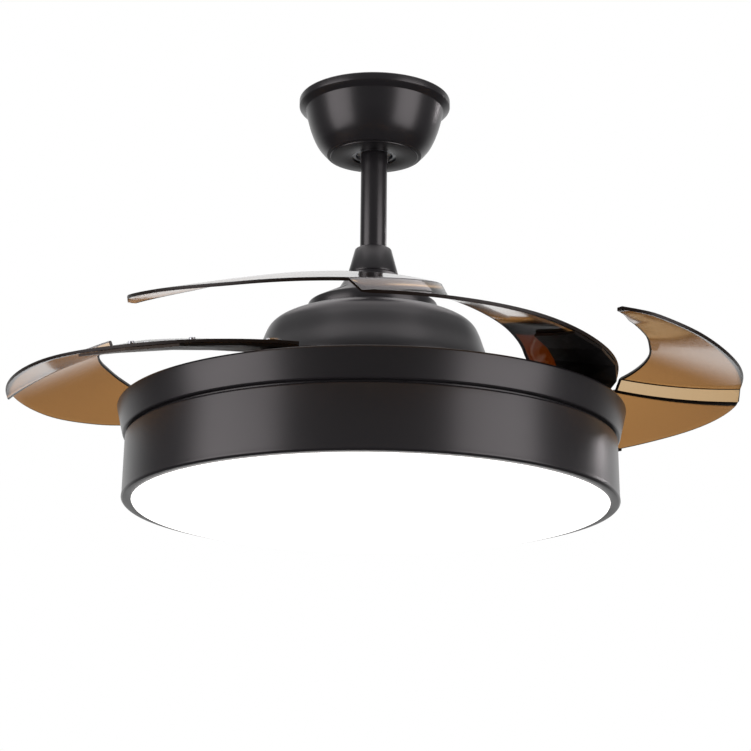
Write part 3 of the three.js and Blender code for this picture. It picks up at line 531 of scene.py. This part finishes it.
cone = {
    "foot": 236.3, "height": 28, "footRadius": 25.2, "topRadius": 18.6, "hole": 13.65,
    "lip": 2, "wall": 1,
}
coneOutside = [
    (cone["footRadius"], cone["foot"]),
    (cone["footRadius"], cone["foot"] + cone["lip"]),
    (cone["topRadius"], cone["foot"] + cone["height"] - 1.2),
    (cone["topRadius"] - 1, cone["foot"] + cone["height"]),
    (cone["hole"], cone["foot"] + cone["height"]),
]
charcoalPiece("coupling_cone", shellProfile(coneOutside, cone["wall"]), "coupling_cover", sides=96)

pipe = {"radius": 13.35, "wall": 2.6, "foot": 230.3, "top": 396}
pipeProfile = [
    (pipe["radius"] - pipe["wall"], pipe["foot"]),
    (pipe["radius"], pipe["foot"]),
    (pipe["radius"], pipe["top"]),
    (pipe["radius"] - pipe["wall"], pipe["top"]),
]
charcoalPiece("rod_pipe", pipeProfile, "downrod", sides=72, edge=0.4)

bowl = {
    "radius": 77.2, "foot": 363.4, "height": 61.6, "floor": 44.4, "hole": 22.5, "wall": 1,
    "lipHeight": 7.4, "lipWidth": 1.8, "lipSlope": 1.8, "steps": 27,
}
# how far out from the flat bottom and how far up each point of the flank lies
bowlShares = [(0.11, 0.023), (0.409, 0.211), (0.628, 0.471), (0.799, 0.805)]
bowlFlank = flankPoints(
    bowlShares, bowl["steps"], bowl["floor"], bowl["radius"], bowl["foot"], bowl["height"],
)
lipFoot = lampEdge - bowl["lipHeight"]
bowlOutside = [
    (bowl["hole"], bowl["foot"]),
    (bowl["floor"], bowl["foot"]),
    (bowl["floor"] + 0.3, bowl["foot"] + 1.2),
    *bowlFlank,
    (bowl["radius"] - bowl["lipWidth"], lipFoot - bowl["lipSlope"]),
    (bowl["radius"], lipFoot),
    (bowl["radius"], lampEdge - 0.8),
    (bowl["radius"] - 0.6, lampEdge),
]
bowlProfile = shellProfile(bowlOutside, bowl["wall"])
charcoalPiece("canopy_bowl", bowlProfile, "canopy", "ceiling_hanger", sides=144, edge=0.35)
print("dome, cap, rod and canopy ready")

# ---- blades ----
# Angles along a blade start beside its pivot, and grow towards its tip.
blade = {
    "pivotRadius": 225, "firstPivot": 66.75, "swing": 30, "thickness": 3, "rim": 93.1,
    "innerFoot": -2, "innerStep": 65, "outerFoot": -5, "outerStep": 95, "tip": 158.6,
    "edge": 246.5, "stepWidth": 2.6, "riser": 2, "hole": 11.6, "drillLength": 80, "round": 0.9,
    "count": 4, "rootRows": 42, "wingRows": 46, "columns": 17,
    # The strips beside the step and along the inner edge carry painted shade for the dark lines
    # that the folds and the edge make.
    "creaseShade": 0.018, "lip": 0.014,  # dark lines beside the step, as shares of root and wing
    "innerEdgeShade": 0.022,  # the dark line along the inner edge, as a share of the width
    "boss": 7.5, "bossFrom": 0.45, "bossTo": 0.62,  # the thick root, and its end as shares
    "bossInner": 0.45, "bossOuter": 0.85,  # where it thins out across, towards the outer edge
}


# A curve through the given points that never swings past them.
def smoothThrough(points):
    last = len(points) - 1
    slopes = [(b[1] - a[1]) / (b[0] - a[0]) for a, b in zip(points, points[1:])]
    tangents = []
    for i in range(last + 1):
        if i in (0, last):
            tangents.append(slopes[min(i, last - 1)])
            continue
        before, after = slopes[i - 1], slopes[i]
        tangents.append(0 if before * after <= 0 else 2 * before * after / (before + after))

    def valueAt(x):
        i = 0
        while i < last - 1 and x > points[i + 1][0]:
            i += 1
        (x0, y0), (x1, y1) = points[i], points[i + 1]
        width = x1 - x0
        t = min(1, max(0, (x - x0) / width))
        start = (2 * t ** 3 - 3 * t * t + 1) * y0 + (t ** 3 - 2 * t * t + t) * width * tangents[i]
        end = (3 * t * t - 2 * t ** 3) * y1 + (t ** 3 - t * t) * width * tangents[i + 1]
        return start + end
    return valueAt


# radii of the edges, and their lifts above the lamp's rim, by the angle along them
innerFoot, innerStep = blade["innerFoot"], blade["innerStep"]
outerFoot, outerStep = blade["outerFoot"], blade["outerStep"]
tip, edge = blade["tip"], blade["edge"]
outerRadius = smoothThrough([(outerFoot, edge), (138, edge), (151, 242), (tip, 229.5)])
innerRadius = smoothThrough([
    (innerFoot, 172), (15, 160), (50, 157), (107, 158), (126, 165), (143, 181), (tip, 222),
])
rootOuterLift = smoothThrough([(outerFoot, 8), (30, 9), (60, 13), (outerStep, 14)])
wingOuterLift = smoothThrough([(outerStep, 24), (120, 26), (140, 33.5), (tip, 45.5)])
rootInnerLift = smoothThrough([(innerFoot, 17.5), (25, 31), (innerStep, 45)])
wingInnerLift = smoothThrough([(innerStep, 54.5), (90, 58), (115, 59), (140, 56), (tip, 46)])


def fadeBetween(value, start, end):
    t = min(1, max(0, (value - start) / (end - start)))
    return t * t * (3 - 2 * t)


# The root is thick around the pivot, and its underside stays level with the rest.
def rootThickness(share, across):
    along = 1 - fadeBetween(share, blade["bossFrom"], blade["bossTo"])
    inward = 1 - fadeBetween(across, blade["bossInner"], blade["bossOuter"])
    return blade["thickness"] + (blade["boss"] - blade["thickness"]) * along * inward


# A point in the middle of the folded blade's thickness, seen from its pivot. The share runs
# from the root to the step, or from the step to the tip, and across is 0 at the inner edge.
def bladePoint(isRoot, share, across):
    if isRoot:
        innerAngle = innerFoot + (innerStep - innerFoot) * share
        outerAngle = outerFoot + (outerStep - outerFoot) * share
        innerLift, outerLift = rootInnerLift(innerAngle), rootOuterLift(outerAngle)
    else:
        innerStart, outerStart = innerStep + blade["stepWidth"], outerStep + blade["stepWidth"]
        innerAngle = innerStart + (tip - innerStart) * share
        outerAngle = outerStart + (tip - outerStart) * share
        innerLift, outerLift = wingInnerLift(innerAngle), wingOuterLift(outerAngle)
    radius = innerRadius(innerAngle) * (1 - across) + outerRadius(outerAngle) * across
    angle = math.radians(innerAngle * (1 - across) + outerAngle * across)
    lift = innerLift * (1 - across) + outerLift * across
    height = blade["rim"] + lift - lampEdge
    if isRoot:
        height += (rootThickness(share, across) - blade["thickness"]) / 2
    outward = radius * math.cos(angle) - blade["pivotRadius"]
    return Vector((radius * math.sin(angle), outward, height)) * mm


def evenShares(count):
    return [k / (count - 1) for k in range(count)]


def moulding():
    creaseShade, lip, innerEdgeShade = blade["creaseShade"], blade["lip"], blade["innerEdgeShade"]
    rootShares = [share * (1 - creaseShade) for share in evenShares(blade["rootRows"])] + [1]
    wingShares = [0] + [lip + share * (1 - lip) for share in evenShares(blade["wingRows"])]
    rows = [(True, share) for share in rootShares] + [(False, share) for share in wingShares]
    columns = [0] + [innerEdgeShade + (1 - innerEdgeShade) * share for share in evenShares(blade["columns"] - 1)]
    lastRow, lastColumn = len(rows) - 1, len(columns) - 1
    bpy.ops.object.select_all(action="DESELECT")
    bpy.ops.mesh.primitive_grid_add(x_subdivisions=lastRow, y_subdivisions=lastColumn, size=1)
    piece = bpy.context.object
    for finish in (finishes["amber_plastic"], paintedShadeFinish):
        piece.data.materials.append(finish)
    stepRow = blade["rootRows"]  # the riser runs from this row of points to the next one
    # Faces in the rows beside the step and in the inner-edge column get the near-black painted
    # shade.
    for face in piece.data.polygons:
        row = int((face.center.x + 0.5) * lastRow)
        column = int((face.center.y + 0.5) * lastColumn)
        shadedBesideStep = row in (stepRow - 1, stepRow + 1)
        face.material_index = int(shadedBesideStep or column == 0)
    depth = piece.vertex_groups.new(name="depth")
    for vertex in piece.data.vertices:
        row = round((vertex.co.x + 0.5) * lastRow)
        isRoot, share = rows[row]
        across = columns[round((vertex.co.y + 0.5) * lastColumn)]
        thickness = rootThickness(share, across) if isRoot else blade["thickness"]
        if row in (stepRow, stepRow + 1):
            thickness = blade["riser"]
        depth.add([vertex.index], thickness / blade["boss"], "REPLACE")
        vertex.co = bladePoint(isRoot, share, across)
    bpy.ops.object.mode_set(mode="EDIT")
    bpy.ops.mesh.select_all(action="SELECT")
    bpy.ops.mesh.normals_make_consistent(inside=False)
    bpy.ops.object.mode_set(mode="OBJECT")
    # The rims take the second finish too: painted shade for the edges seen edge on.
    applyModifier(
        piece, "SOLIDIFY", thickness=blade["boss"] * mm, offset=0, material_offset_rim=1,
        vertex_group="depth",
    )
    bpy.ops.object.select_all(action="DESELECT")
    bpy.ops.mesh.primitive_cylinder_add(
        vertices=48, radius=blade["hole"] * mm, depth=blade["drillLength"] * mm,
        location=(0, 0, (blade["rim"] - lampEdge) * mm),
    )
    bpy.ops.object.transform_apply(location=True)
    cutAway(piece, bpy.context.object)
    roundEdges(piece, blade["round"], segments=3, angle=60)
    return piece


# Rivets through the root into the arm under it, with domed heads on the blade's upper face.
rivet = {
    "radius": 3, "head": 1.5, "below": 1, "round": 0.9,
    "places": [(0.17, 0.78), (0.28, 0.55), (0.36, 0.82), (0.46, 0.62)],  # root's share, across
}


def rivets():
    heads = []
    nearby = 0.01
    for share, across in rivet["places"]:
        middle = bladePoint(True, share, across)
        along = bladePoint(True, share + nearby, across) - middle
        normal = along.cross(bladePoint(True, share, across + nearby) - middle).normalized()
        if normal.z < 0:
            normal.negate()
        length = rootThickness(share, across) + rivet["head"] + rivet["below"]
        bpy.ops.object.select_all(action="DESELECT")
        bpy.ops.mesh.primitive_cylinder_add(
            vertices=24, radius=rivet["radius"] * mm, depth=length * mm,
            location=middle + normal * (rivet["head"] - rivet["below"]) / 2 * mm,
            rotation=normal.to_track_quat("Z", "Y").to_euler(),
        )
        head = bpy.context.object
        bpy.ops.object.transform_apply(location=True, rotation=True)
        roundEdges(head, rivet["round"], segments=4, angle=60)
        heads.append(head)
    return joinPieces(heads)


def bladePlace(number):
    direction = math.radians(blade["firstPivot"] - 360 / blade["count"] * (number - 1))
    radius = blade["pivotRadius"] * mm
    move = Matrix.Translation((radius * math.cos(direction), radius * math.sin(direction), 0))
    return move @ Matrix.Rotation(direction - math.pi / 2 + math.radians(blade["swing"]), 4, "Z")


# Copies of a piece, one on each blade's body.
def onEachBlade(pattern, name, material, replaced=""):
    for number in range(1, blade["count"] + 1):
        copy = pattern.copy()
        copy.data = pattern.data.copy()
        copy.name = copy.data.name = name + "_" + str(number)
        bpy.context.scene.collection.objects.link(copy)
        copy.data.transform(bladePlace(number))
        nodes = (replaced + "_" + str(number),) if replaced else ()
        finishPiece(copy, material, "blade_body_" + str(number), nodes, smooth=40)
    bpy.data.objects.remove(pattern)


onEachBlade(moulding(), "amber_blade", None, "blade")
onEachBlade(rivets(), "blade_rivets", finishes["zinc_steel"])
print("blades ready")

# ---- turntable, rotor and gear cover ----
def rotorPiece(name, profile, node, slot, sides, edge):
    piece = turnPiece(name, profile, sides, edge)
    finishPiece(piece, finishes[slot], "rotor", (node,))


plate = {
    "radius": 237, "top": 93.1, "thickness": 2, "land": 95.7, "step": 175.05,
    "guide": 163.45, "guideWall": 7, "guideTop": 100.5, "seat": 17.3, "hub": 25.3,
    "hubFoot": 79.1,
}
plateProfile = [
    (plate["seat"], plate["hubFoot"]),
    (plate["hub"], plate["hubFoot"]),
    (plate["hub"], plate["top"] - plate["thickness"]),
    (plate["radius"], plate["top"] - plate["thickness"]),
    (plate["radius"], plate["top"]),
    (plate["step"], plate["top"]),
    (plate["step"], plate["land"]),
    (plate["guide"], plate["land"]),
    (plate["guide"], plate["guideTop"]),
    (plate["guide"] - plate["guideWall"], plate["guideTop"]),
    (plate["guide"] - plate["guideWall"], plate["top"]),
    (plate["seat"], plate["top"]),
]
rotorPiece("turntable_plate", plateProfile, "turntable", "cast_aluminium", sides=200, edge=0.3)

can = {
    "radius": 72, "wall": 2.4, "foot": 93.4, "height": 60, "flange": 14, "bore": 12,
    "corner": 6, "insideCorner": 5, "hubWall": 6, "hubDepth": 9, "stop": 0.7,
}
canTop = can["foot"] + can["height"]
canInside = can["radius"] - can["wall"]
canProfile = [
    (canInside, can["foot"]),
    (can["radius"] + can["flange"], can["foot"]),
    (can["radius"] + can["flange"], can["foot"] + can["wall"]),
    (can["radius"], can["foot"] + can["wall"]),
    (can["radius"], canTop - can["corner"]),
    (can["radius"] - can["corner"], canTop),
    (can["bore"], canTop),
    (can["bore"], canTop - can["stop"]),
    (plate["seat"], canTop - can["stop"]),
    (plate["seat"], canTop - can["hubDepth"]),
    (plate["seat"] + can["hubWall"], canTop - can["hubDepth"]),
    (plate["seat"] + can["hubWall"], canTop - can["wall"]),
    (canInside - can["insideCorner"], canTop - can["wall"]),
    (canInside, canTop - can["wall"] - can["insideCorner"]),
]
rotorPiece("rotor_can", canProfile, "rotor_shell", "cast_aluminium", sides=128, edge=0.8)

cover = {"inner": 73, "outer": 180.75, "base": 100.8, "wall": 1, "collar": 4, "rise": 5}
coverProfile = [
    (cover["inner"], cover["base"]),
    (cover["outer"], cover["base"]),
    (cover["outer"], cover["base"] + 0.6),
    (cover["outer"] - 1, cover["base"] + cover["wall"]),
    (cover["inner"] + cover["collar"], cover["base"] + cover["wall"]),
    (cover["inner"] + cover["collar"], cover["base"] + cover["rise"]),
    (cover["inner"], cover["base"] + cover["rise"]),
]
rotorPiece("gear_cover", coverProfile, "ring_cover", "black_plastic", sides=160, edge=0.3)
print("turntable and rotor ready")

# ---- camera, light and surroundings, with distances in metres ----
view = {
    "distance": 2.07692, "height": -0.85716, "lens": 103.875, "sensor": 36, "shift": 0.00475,
    "pitch": 105.218, "roll": 0.0102,  # the pitch in degrees, the roll in radians
}
lens = bpy.data.cameras.new("camera")
lens.lens = view["lens"]
lens.sensor_width = view["sensor"]
lens.shift_x = view["shift"]
camera = bpy.data.objects.new("camera", lens)
bpy.context.scene.collection.objects.link(camera)
camera.matrix_world = (
    Matrix.Translation((0, -view["distance"], view["height"]))
    @ Matrix.Rotation(math.radians(view["pitch"]), 4, "X")
    @ Matrix.Rotation(view["roll"], 4, "Z")
)
bpy.context.scene.camera = camera

softboxes = [
    # name, azimuth from the camera's side, height, distance, width, depth, watts
    ("left_softbox", -62, -0.3, 2.4, 1.9, 2.2, 44),
    ("right_softbox", 57, -0.3, 2.4, 1.8, 2.2, 44),
    ("right_strip", 129, 0.56, 2.8, 0.16, 0.3, 3.4),
    ("top_softbox", 180, 1.7, 0.2, 3.0, 3.0, 36),
]
softTint = (1, 0.93, 0.95)  # a slightly rosy white
softAim = Vector((0, 0, -0.3))
for name, azimuth, height, distance, width, depth, watts in softboxes:
    lamplight = bpy.data.lights.new(name, "AREA")
    lamplight.shape = "RECTANGLE"
    lamplight.size = width
    lamplight.size_y = depth
    lamplight.energy = watts
    lamplight.color = softTint
    box = bpy.data.objects.new(name, lamplight)
    bpy.context.scene.collection.objects.link(box)
    turn = math.radians(azimuth)
    box.location = (distance * math.sin(turn), -distance * math.cos(turn), height)
    box.rotation_euler = (softAim - box.location).to_track_quat("-Z", "Y").to_euler()
    box.visible_camera = False
    box.visible_transmission = False

# The camera sees pure white all round. Glossy faces mirror a white wall behind the fan that
# darkens to its sides and to the ground, and grey overhead. Each change runs between two
# shares of the direction's Y or Z.
studio = {
    "wallFrom": 0.4, "wallTo": 1.0, "sides": 0.12,
    "groundFrom": -0.4, "groundTo": -0.12, "ground": 0.06,
    "overheadFrom": 0.3, "overheadTo": 0.75, "overhead": 0.55,
    "onMatt": 0.5,
}
world = bpy.data.worlds.new("studio")
bpy.context.scene.world = world
world.use_nodes = True
sky = world.node_tree
sky.nodes.clear()
ray = addNode(sky, "ShaderNodeLightPath").outputs
direction = addNode(sky, "ShaderNodeTexCoord").outputs["Generated"]
parts = addNode(sky, "ShaderNodeSeparateXYZ", inputs={"Vector": direction}).outputs
wall = smoothStep(sky, parts["Y"], studio["wallFrom"], studio["wallTo"], studio["sides"], 1)
low = smoothStep(sky, parts["Z"], studio["groundFrom"], studio["groundTo"], studio["ground"], 1)
high = smoothStep(
    sky, parts["Z"], studio["overheadFrom"], studio["overheadTo"], 0, studio["overhead"],
)
around = combine(sky, "MAXIMUM", combine(sky, "MULTIPLY", wall, low), high)
seen = combine(sky, "MAXIMUM", ray["Is Camera Ray"], ray["Is Transmission Ray"])
mirrored = combine(sky, "MULTIPLY", ray["Is Glossy Ray"], around)
soft = combine(sky, "MULTIPLY", ray["Is Diffuse Ray"], studio["onMatt"])
strength = combine(sky, "MAXIMUM", combine(sky, "MAXIMUM", seen, mirrored), soft)
background = addNode(
    sky, "ShaderNodeBackground", inputs={"Color": linearColour("#ffffff"), "Strength": strength},
)
addNode(sky, "ShaderNodeOutputWorld", inputs={"Surface": background.outputs["Background"]})

ground = {"size": 60, "level": -2.3, "colour": "#f4f4f2", "glow": 0.38}


# Matt pale paint on the floor. The camera sees it paler than the light alone makes it, also
# through the blades, and looks through it from beneath.
def palePaint():
    material, tree, shader, place = newMaterial("matPaleFloor", ground["colour"], Roughness=0.9)
    addRoughness(tree, shader, addGrain(tree, place, 20), 0.85, 0.95)
    ray = addNode(tree, "ShaderNodeLightPath").outputs
    seen = combine(tree, "MAXIMUM", ray["Is Camera Ray"], ray["Is Transmission Ray"])
    paler = combine(tree, "MULTIPLY", seen, ground["glow"])
    shader.inputs["Emission Color"].default_value = linearColour(ground["colour"])
    tree.links.new(paler, shader.inputs["Emission Strength"])
    beneath = addNode(tree, "ShaderNodeNewGeometry").outputs["Backfacing"]
    clear = addNode(tree, "ShaderNodeBsdfTransparent").outputs["BSDF"]
    oneSided = addNode(
        tree, "ShaderNodeMixShader", inputs={0: beneath, 1: shader.outputs["BSDF"], 2: clear},
    )
    output = tree.nodes["Material Output"]
    tree.links.new(oneSided.outputs["Shader"], output.inputs["Surface"])
    return material


bpy.ops.object.select_all(action="DESELECT")
bpy.ops.mesh.primitive_plane_add(size=ground["size"], location=(0, 0, ground["level"]))
floor = bpy.context.object
floor.name = "pale_floor"
floor.data.materials.append(palePaint())
floor.visible_glossy = False

bpy.context.scene.view_settings.view_transform = "Standard"
bpy.context.view_layer.update()
print("scene ready")
